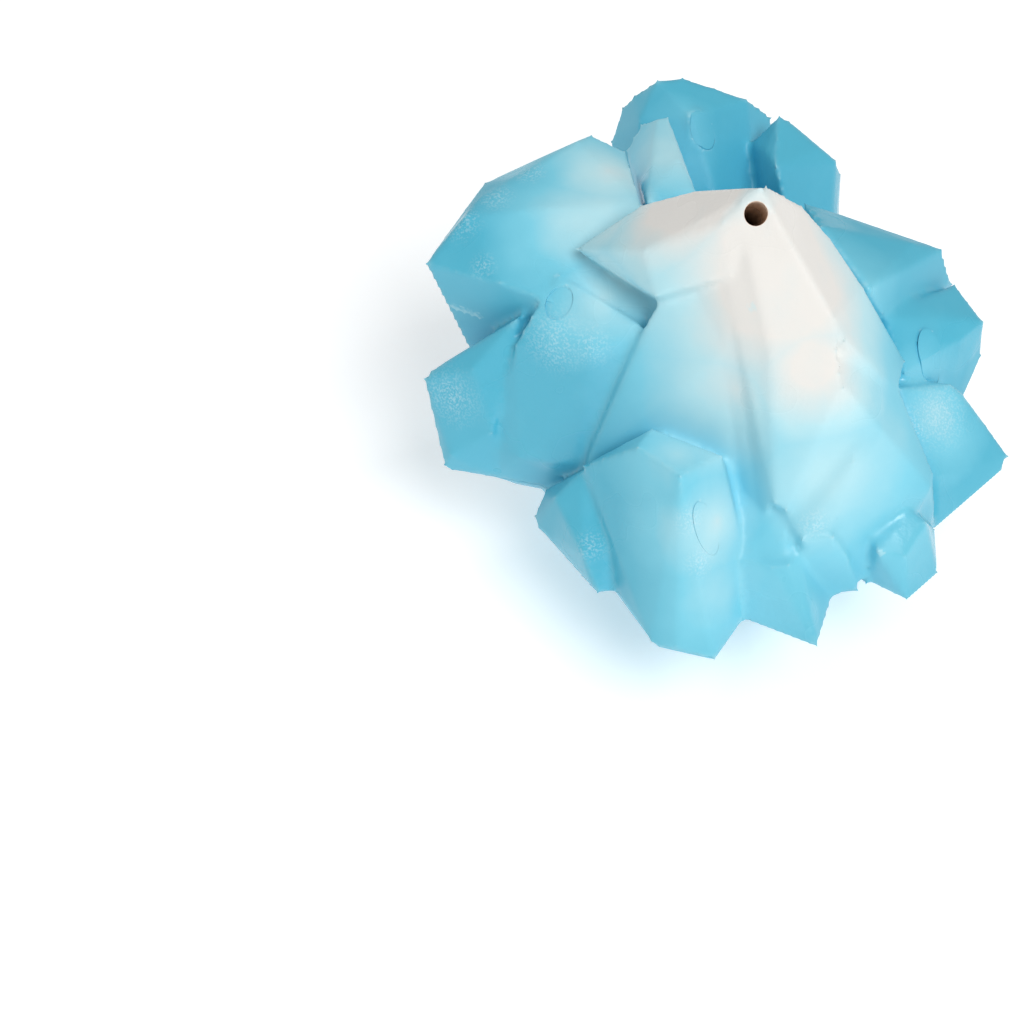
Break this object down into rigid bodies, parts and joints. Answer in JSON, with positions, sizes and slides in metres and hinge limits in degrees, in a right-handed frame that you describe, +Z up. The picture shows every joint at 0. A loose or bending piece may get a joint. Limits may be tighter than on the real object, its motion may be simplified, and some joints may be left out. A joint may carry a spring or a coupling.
{
  "type": "dryer ball",
  "caption": "Hollow dryer ball shaped as a cluster of crystal points, in two shells joined by pins, with an air hole at its summit.",
  "frame": {"origin": "on the flat facet that the ball rests on, under the middle of the ball", "axes": "+Z up, away from the rest facet and through the summit; -Y towards the front, where the long white rib is; +X to the right"},
  "size_m": [0.078, 0.0805, 0.073],
  "materials": {
    "shell": "satin, airbrushed from ivory white at the summit to sky blue",
    "pin": "satin sky blue"
  },
  "bodies": {
    "root": {"upper_shell": "shell", "lower_shell": "shell", "joining_pin_front": "pin", "joining_pin_right": "pin", "joining_pin_back": "pin", "joining_pin_left": "pin"}
  },
  "joints": []
}
